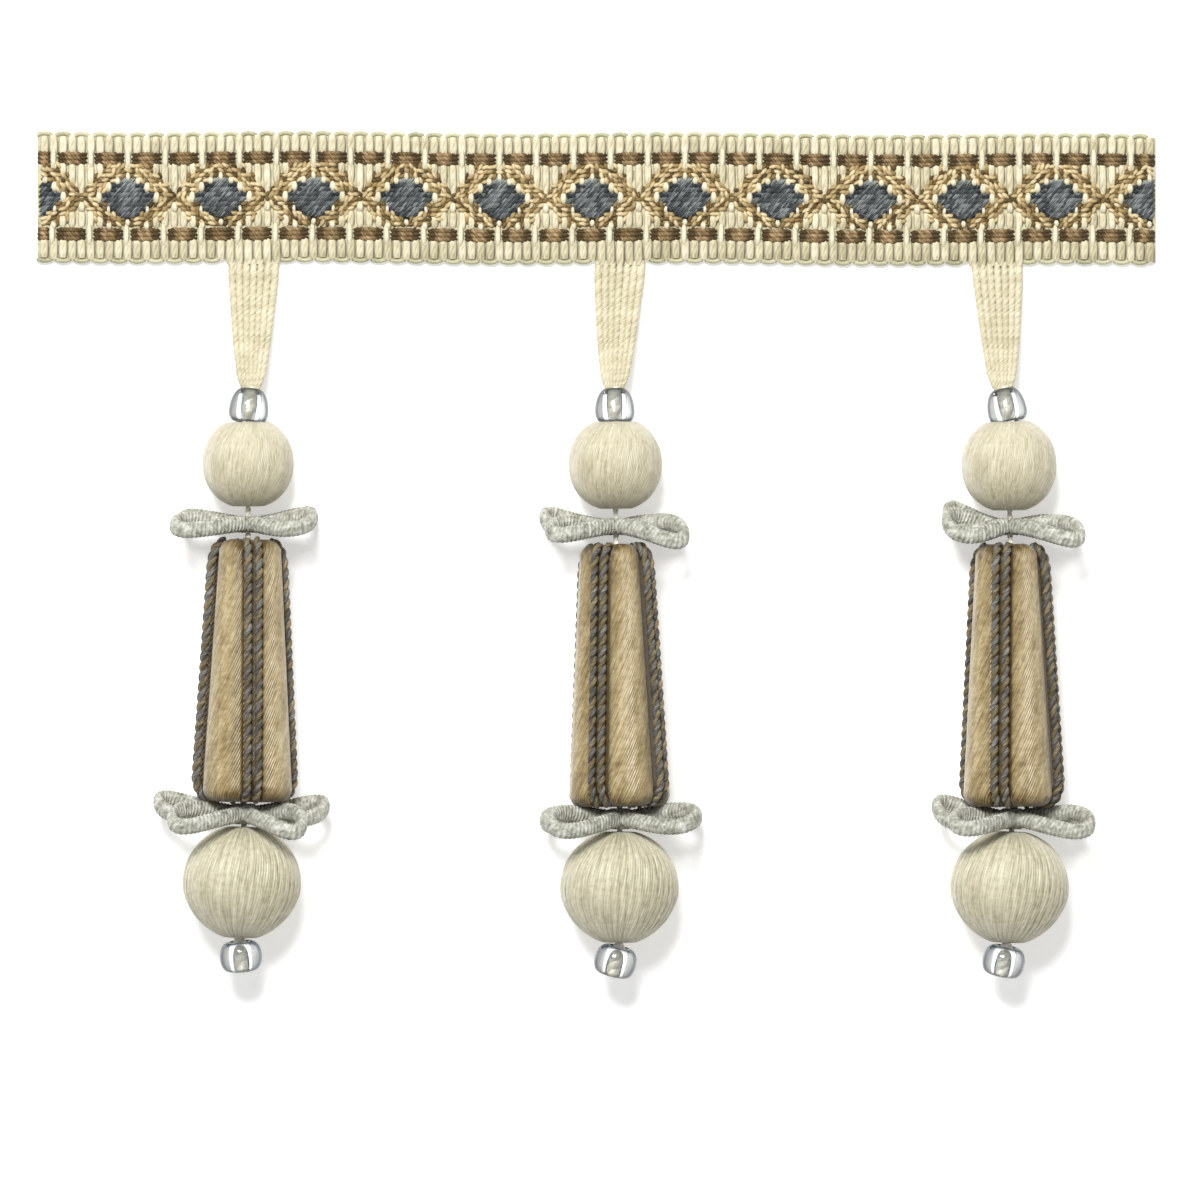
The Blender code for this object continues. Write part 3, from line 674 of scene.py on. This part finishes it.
# Drops
def seat(upper, lower, y):
    """A matrix on the string's run between two points, where it passes y, with +Z up the run."""
    upper, lower = Vector(upper), Vector(lower)
    place = upper.lerp(lower, (upper.y - y) / (upper.y - lower.y))
    up = (upper - lower).normalized()
    side = (Vector((1, 0, 0)) - up * up.x).normalized()
    turn = Matrix((side, up.cross(side), up)).transposed().to_4x4()
    return Matrix.Translation(place) @ turn


def moved(matrix, points):
    m = np.array(matrix)
    return np.asarray(points) @ m[:3, :3].T + m[:3, 3]


def make_skein(stem, root_x, top):
    """Fourteen two-ply yarns in two layers that gather into the bead."""
    yarns = Yarns()
    t = np.linspace(0, 1, 14)
    root_y = BRAID_FOOT + 0.1 + float(middle(root_x))
    places = [0, 0.14, 0.38, 0.62, 0.84, 0.94, 1]
    width = np.interp(t, places, [5.5, 5.3, 4.6, 3.9, 3.0, 2.1, 0.9])
    thick = np.interp(t, places, [0.2, 0.5, 0.8, 0.95, 1.0, 0.8, 0.4])
    high = np.interp(t, places, [0.62, 0.95, 1.95, 3.1, 4.2, 4.8, 5.05])
    for layer in (-1, 1):
        for i in range(7):
            across = (i - 3) / 3 * (1.0 if layer > 0 else 0.9)
            x = root_x + (top[0] - root_x) * t**0.8 + across * width / 2
            y = root_y + (top[1] - 0.9 - root_y) * t
            z = high + layer * 0.5 * thick * (1 - 0.3 * across**2) + RNG.uniform(-0.03, 0.03)
            line = np.stack([x, y, np.maximum(z, 0.56)], 1)
            plied(yarns, line, 0.56, 1.9, 0.45, start=RNG.uniform(0, 6.28),
                  tone=0.43 + RNG.uniform(-0.06, 0.06),
                  shrink=([0, 0.1, 0.4, 0.85, 1], [0.75, 0.95, 0.88, 0.7, 0.42]))
    return yarns.mesh(f"{stem}_skein_yarns", [CREAM])


def make_string(stem, points):
    yarns = Yarns()
    line = np.asarray(points, float)
    plied(yarns, line, 0.36, 1.6, 0.22, start=0.4, tone=0.6,
          shrink=([0, 0.01, 0.04, 0.055, 0.935, 0.95, 0.985, 1], [1.6, 2.5, 2.5, 1, 1, 2.3, 2.4, 1.8]))
    end = line[-1]
    knot = [end + np.array([0.28 * math.cos(a), 0.3 + 0.12 * math.sin(2 * a), 0.28 * math.sin(a)])
            for a in np.linspace(0, 2 * math.pi, 16)]
    yarns.tube(knot, (0.2, 0.2), 7, tone=0.6)
    return yarns.mesh(f"{stem}_string_yarn", [THREAD])


def make_bead(name, matrix, radius, height, waist, dome):
    """A clear glass bead with a flame-polished hole. It is widest at its waist, and domed above."""
    yarns = Yarns()
    bore, lip, mouth = 1.0, 0.2, 0.3
    turn = np.linspace(0, 2 * np.pi, 33)[:-1]
    profile = []
    for a in np.linspace(0.0, np.pi, 17):
        swell = math.sin(a) ** (dome if a < np.pi / 2 else 0.6)
        reach = height / 2 - waist if a < np.pi / 2 else height / 2 + waist
        profile.append((bore + lip + (radius - bore - lip) * swell, waist + reach * math.cos(a)))
    profile.append((bore, -height / 2 + mouth))
    profile.append((bore, height / 2 - mouth))
    profile.append(profile[0])
    profile = np.asarray(profile)
    grid = np.stack([profile[:, :1] * np.cos(turn)[None], profile[:, :1] * np.sin(turn)[None],
                     np.repeat(profile[:, 1:], len(turn), 1)], -1)
    grid = grid[::-1]
    points = moved(matrix, grid.reshape(-1, 3)).reshape(grid.shape)
    yarns.grid(points, np.linspace(0, 9, len(profile))[:, None], np.linspace(0, 1, 33)[None])
    made = yarns.mesh(name, [GLASS])
    clean = bmesh.new()
    clean.from_mesh(made.data)
    bmesh.ops.remove_doubles(clean, verts=clean.verts, dist=1e-7)
    bmesh.ops.recalc_face_normals(clean, faces=clean.faces)
    clean.to_mesh(made.data)
    clean.free()
    return made


# A ball's small seat round the bore, and the radius and depth of the bore's own ends
SEAT_RADIUS, SEAT_DEPTH = 2.0, 0.4
BALL_BORE, BALL_BORE_DEPTH = 0.62, 1.9


def make_ball(name, matrix, radius, height, look, grooves, depth, taper, seed, seat_radius=SEAT_RADIUS,
              seat_depth=SEAT_DEPTH, square=1.0):
    """A wound ball: threads run from pole to pole, with uneven grooves between the bundles.

    The threads dip into a seat round the bore at the top, and into a small one at the foot.
    A square below 1 makes the ball's outline a little squarer than a circle.
    """
    top_seat, foot_seat = (seat_radius, height / 2 - seat_depth), (SEAT_RADIUS, height / 2 - SEAT_DEPTH)
    rng = np.random.default_rng(seed)
    yarns = Yarns()
    columns, rows = 264, 44
    turn = 2 * np.pi * np.arange(columns) / columns
    down = np.linspace(0.12, np.pi - 0.12, rows)
    wobble = rng.uniform(-0.5, 0.5, grooves)
    weight = rng.uniform(0.3, 1.0, grooves)
    skew = 0.04
    points, tones = np.zeros((rows, columns, 3)), np.zeros((rows, columns))
    for r, a in enumerate(down):
        around = (turn + skew * (a - np.pi / 2)) / (2 * np.pi) * grooves
        cell = np.floor(around).astype(int) % grooves
        from_crest = around - np.floor(around) - 0.5
        ridge = np.cos(np.pi * from_crest) ** 0.7
        lift = depth * (ridge - 0.7) * weight[cell] * min(1.0, math.sin(a) * 1.6)
        swell = radius * math.sin(a) ** square * (1 - taper * max(0.0, -math.cos(a) - 0.2) / 0.8)
        z = math.copysign(abs(math.cos(a)) ** square, math.cos(a)) * height / 2
        edge, floor = top_seat if z > 0 else foot_seat
        share = min(1.0, max(0.0, (edge - swell) / 0.6))
        z -= math.copysign(share * share * (3 - 2 * share) * max(0.0, abs(z) - floor), z)
        swell = swell + lift
        points[r] = np.stack([swell * np.cos(turn), swell * np.sin(turn), np.full(columns, z)], 1)
        # Painted shade: the tone is darker in the grooves, more where a groove is deeper; the wobble is
        # uneven tone of the bundles
        tones[r] = 0.5 + 0.16 * (ridge - 0.75) * weight[cell] + 0.05 * wobble[cell]
    for end, z in ((0, height / 2 - BALL_BORE_DEPTH), (-1, -height / 2 + BALL_BORE_DEPTH)):
        ring = points[end].copy()
        ring[:, :2] *= BALL_BORE / np.linalg.norm(ring[:, :2], axis=1)[:, None]
        ring[:, 2] = z
        points = np.concatenate([ring[None], points] if end == 0 else [points, ring[None]])
        # Painted shade: the bore's ring is darker, inside the hole
        tones = np.concatenate([tones[:1] - 0.3, tones] if end == 0 else [tones, tones[-1:] - 0.3])
    world = moved(matrix, points.reshape(-1, 3))
    world[:, 2] = np.maximum(world[:, 2], 0.0)
    along = np.concatenate([[0], down * radius, [np.pi * radius]])[:, None]
    yarns.grid(world.reshape(points.shape), along, np.linspace(0, 1, columns + 1)[None], tones)
    return yarns.mesh(name, [look])


# The cone's panels, half the width of a groove and the width of its sloping side, the radius
# of the cone's bore, and how far a panel's edge lies below its crest
PANELS = 4
GROOVE_HALF_WIDTH, GROOVE_SIDE = 1.3, 0.3
CONE_BORE = 0.7
PANEL_DROP = 0.85
# The cone's rings: distance below its top, and radius of a panel's crest and a groove's floor
RINGS = np.array(((0.0, 3.3, 1.5), (0.35, 4.15, 2.0), (1.2, 4.65, 3.1), (2.6, 4.73, 3.56),
                  (29.9, 6.32, 5.15), (31.3, 6.4, 4.6), (32.15, 5.95, 3.5), (32.5, 5.2, 2.9)))
# The cords' route: distance below the cone's top, and radius
CORD_ROUTE = np.array(((0.05, 2.9), (0.3, 3.5), (1.1, 4.12), (2.6, 4.55), (29.9, 6.14), (31.4, 5.7),
                       (32.2, 5.0), (32.4, 4.2)))


def make_cone(stem, matrix, seed):
    """Satin thread wound lengthwise over four padded panels, with a groove between each two."""
    yarns = Yarns()
    columns = 240
    down = np.concatenate([[0, 0.12, 0.3, 0.55, 0.85, 1.2, 1.8, 2.6], np.linspace(3.4, 29.2, 36),
                           [29.9, 30.6, 31.2, 31.6, 31.95, 32.2, 32.38, 32.5]])
    turn = 2 * np.pi * np.arange(columns) / columns
    whole = 2 * np.pi / PANELS
    offset = np.abs((turn + whole / 2) % whole - whole / 2)
    rng = np.random.default_rng(seed)
    ripple = np.interp(np.arange(columns), np.linspace(0, columns, 97), rng.uniform(-1, 1, 97))
    points, tones = [], []
    for d in down:
        crest = np.interp(d, RINGS[:, 0], RINGS[:, 1])
        floor = np.interp(d, RINGS[:, 0], RINGS[:, 2])
        arc = offset * crest
        rise = np.clip((arc - GROOVE_HALF_WIDTH) / GROOVE_SIDE, 0, 1)
        rise = rise * rise * (3 - 2 * rise)
        inner = (arc - GROOVE_HALF_WIDTH) / (whole / 2 * crest - GROOVE_HALF_WIDTH)
        edge = np.clip(1 - inner, 0, 1)
        panel = crest - PANEL_DROP * edge**2
        r = floor + (np.maximum(panel, floor) - floor) * rise + 0.018 * ripple
        points.append(np.stack([r * np.cos(turn), r * np.sin(turn), np.full(columns, -d)], 1))
        # Painted shade: the tone is darker in the grooves, towards each panel's edges and at the cone's two
        # ends, which leaves a light stripe on each crest
        end_shade = 0.3 * np.exp(-d / 1.2) + 0.35 * np.exp((d - CONE_LENGTH) / 0.9)
        tones.append(0.3 + 0.24 * rise + 0.03 * ripple - 0.17 * edge**2 - end_shade)
    for first, z in ((True, 0.0), (False, -CONE_LENGTH)):
        ring = points[0 if first else -1].copy()
        ring[:, :2] *= CONE_BORE / np.linalg.norm(ring[:, :2], axis=1)[:, None]
        ring[:, 2] = z
        if first:
            points.insert(0, ring)
            tones.insert(0, tones[0])
        else:
            points.append(ring)
            tones.append(tones[-1])
    grid = np.array(points)
    along = np.concatenate([[0], down + 3, [CONE_LENGTH + 6]])[:, None]
    world = moved(matrix, grid.reshape(-1, 3)).reshape(grid.shape)
    yarns.grid(world, along, np.linspace(0, 1, columns + 1)[None], np.array(tones))
    return yarns.mesh(f"{stem}_satin_cone", [SATIN])


# How far each cord of a pair lies from the middle of its groove
CORD_OFFSET = 0.66


def make_cords(stem, matrix):
    """Two twisted cords in each groove, tucked in over the cone's ends."""
    yarns = Yarns()
    fine = np.linspace(0, 1, 60)
    length = np.concatenate([[0], np.cumsum(np.hypot(*np.diff(CORD_ROUTE, axis=0).T))])
    down = np.interp(fine * length[-1], length, CORD_ROUTE[:, 0])
    radius = np.interp(fine * length[-1], length, CORD_ROUTE[:, 1])
    for groove in range(PANELS):
        angle = 2 * math.pi * groove / PANELS
        outward = np.array([math.cos(angle), math.sin(angle), 0])
        across = np.array([-math.sin(angle), math.cos(angle), 0])
        for side in (-1, 1):
            line = outward * radius[:, None] + across * side * CORD_OFFSET
            line[:, 2] = -down
            plied(yarns, moved(matrix, line), 0.51, 2.5, 0.3, slots=(0, 1), start=RNG.uniform(0, 6.28),
                  steps_per_turn=10, sides=7)
    return yarns.mesh(f"{stem}_twisted_cords", [CORD_SLATE, CORD_TAN])


# The gimp cord's half thickness and half height, the height, pitch and starts of the thread
# wound round it, and the spacing of its points
GIMP_SECTION, GIMP_WRAPS, GIMP_STEP = (0.68, 1.0), (0.05, 0.5, 1), 0.15
# A loop: where it starts and where it begins to lift, as distances from the string, and its
# half width at the belly and at the root
LOOP_START, LOOP_ROOT, LOOP_SIDE, LOOP_ROOT_SIDE = 0.35, 1.45, 1.72, 0.85
# The ring that the loops spring from
EYE_RADIUS, EYE_HALF_THICKNESS = 1.1, 0.62


def make_rosette(name, matrix, loops, eye_height):
    """Loops of gimp cord: thread wrapped slantwise round a core, wrap beside wrap."""
    yarns = Yarns()
    for direction, reach, rise, tilt in loops:
        tip = reach - 0.75
        t = np.linspace(0, 1, 200)
        out = LOOP_START + (tip - LOOP_START) * ((1 - np.cos(2 * np.pi * t)) / 2) ** 0.8
        belly = np.sin(2 * np.pi * t) * np.sin(np.pi * t) ** 0.5
        side = LOOP_SIDE * belly + LOOP_ROOT_SIDE * np.cos(np.pi * t)
        share = ((out - LOOP_ROOT) / (tip - LOOP_ROOT)).clip(0)
        facing = math.copysign(1, math.cos(math.radians(direction)))
        lift = rise * share**3 + 1.1 * tilt * facing * side / 2 * share**0.7
        line = np.stack([out, side, lift], 1)
        step = np.linalg.norm(np.diff(line, axis=0, prepend=line[:1]), axis=1)
        where = np.cumsum(step)
        s = np.linspace(0, where[-1], int(where[-1] / GIMP_STEP))
        line = np.stack([np.interp(s, where, line[:, k]) for k in range(3)], 1)
        spin = Matrix.Rotation(-math.radians(direction), 4, "Z")
        place = matrix @ spin
        yarns.tube(moved(place, line), GIMP_SECTION, 12, up=np.array(place)[:3, 2], wraps=GIMP_WRAPS)
    turn = np.linspace(0, 2 * np.pi, 60)
    eye = np.stack([EYE_RADIUS * np.cos(turn), EYE_RADIUS * np.sin(turn), np.zeros(60)], 1)
    section = (EYE_HALF_THICKNESS, eye_height)
    yarns.tube(moved(matrix, eye), section, 12, up=np.array(matrix)[:3, 2])
    return yarns.mesh(name, [GIMP])


def make_drop(number):
    stem = f"drop{number + 1}"
    top, under_bead, upper, lower, under_ball, end = STRINGS[number]
    cone_top = CONE_TOPS[number]
    settle(make_skein(stem, SKEIN_ROOTS[number], top), "cream_yarn", f"{stem}_skein")
    settle(make_string(stem, STRINGS[number]), "cream_yarn", f"{stem}_string")
    bead = make_bead(f"{stem}_upper_glass", seat(top, under_bead, top[1] - 2.25),
                     radius=2.5, height=4.2, waist=-0.8, dome=1.15)
    settle(bead, "clear_glass", f"{stem}_top_bead")
    radius = BALL_RADII[number]
    ball = make_ball(f"{stem}_upper_wound_ball", seat(under_bead, upper, BALL_TOP - radius),
                     radius, 2 * radius, BALL, grooves=90, depth=0.07, taper=0.0, seed=number + 1,
                     seat_radius=2.8, seat_depth=0.95, square=0.93)
    settle(ball, "wound_thread", f"{stem}_upper_ball")
    place = seat(under_bead, lower, upper[1])
    place.translation = Vector(upper)
    rosette = make_rosette(f"{stem}_upper_gimp", place, UPPER_LOOPS[number], eye_height=0.9)
    settle(rosette, "silver_gimp", f"{stem}_upper_rosette")
    spin = Matrix.Rotation(math.radians(CONE_TURNS[number]), 4, "Z")
    place = seat(upper, lower, cone_top) @ spin
    settle(make_cone(stem, place, number + 11), "gold_satin", f"{stem}_cone")
    nodes = [f"{stem}_cord_{groove + 1}{word}" for groove in range(PANELS) for word in "ab"]
    settle(make_cords(stem, place), "twisted_cord", *nodes)
    place = seat(upper, under_ball, lower[1])
    place.translation = Vector(lower)
    rosette = make_rosette(f"{stem}_lower_gimp", place, LOWER_LOOPS[number], eye_height=1.3)
    settle(rosette, "silver_gimp", f"{stem}_lower_rosette")
    low_middle = cone_top - CONE_LENGTH - LOW_ROSETTE_GAP - LOW_BALL_HEIGHT / 2
    ball = make_ball(f"{stem}_lower_wound_ball", seat(lower, under_ball, low_middle),
                     LOW_BALL_RADIUS, LOW_BALL_HEIGHT, LOW_BALL, grooves=44, depth=0.26, taper=0.07,
                     seed=number + 21)
    settle(ball, "wound_thread", f"{stem}_lower_ball")
    bead = make_bead(f"{stem}_lower_glass", seat(under_ball, end, end[1] + 1.85),
                     radius=2.65, height=3.7, waist=-0.1, dome=0.8)
    settle(bead, "clear_glass", f"{stem}_end_bead")


for number in range(len(STRINGS)):
    make_drop(number)


# Surface, light and camera
def make_floor():
    bpy.ops.mesh.primitive_plane_add(size=1.6, location=(0, 0, -0.00002))
    floor = bpy.context.active_object
    floor.name = "white_surface"
    look = Look("white_surface", 0.8, specular=0.1)
    grain = look.noise(look.objects(), 900.0, 2.0)
    look.finish(look.ramp(grain, ((0.2, (0.93, 0.93, 0.93, 1)), (0.8, (0.96, 0.96, 0.96, 1)))))
    look.shader.inputs["Emission Color"].default_value = (1, 1, 1, 1)
    look.shader.inputs["Emission Strength"].default_value = 0.36
    floor.data.materials.append(look.material)


def area_light(name, place, size, power):
    """A round soft light, aimed at the middle of the trim."""
    aim = (0, -6, 5)
    data = bpy.data.lights.new(name, "AREA")
    data.shape = "DISK"
    data.size = size
    data.energy = power
    light = bpy.data.objects.new(name, data)
    light.location = Vector(place) * MM
    light.rotation_euler = (light.location - Vector(aim) * MM).to_track_quat("Z", "Y").to_euler()
    bpy.context.scene.collection.objects.link(light)


make_floor()
area_light("key", (-110, 400, 760), size=0.3, power=8.9)

world = bpy.data.worlds.new("studio")
world.use_nodes = True
world.node_tree.nodes["Background"].inputs[0].default_value = (1, 1, 1, 1)
world.node_tree.nodes["Background"].inputs[1].default_value = 0.4
bpy.context.scene.world = world

view = bpy.context.scene.view_settings
view.view_transform = "Standard"
view.look = "None"

camera_data = bpy.data.cameras.new("camera")
camera_data.lens = 240
camera_data.sensor_width = 36
camera = bpy.data.objects.new("camera", camera_data)
camera.location = Vector((0.44, -5.94, 1000.0)) * MM
bpy.context.scene.collection.objects.link(camera)
bpy.context.scene.camera = camera
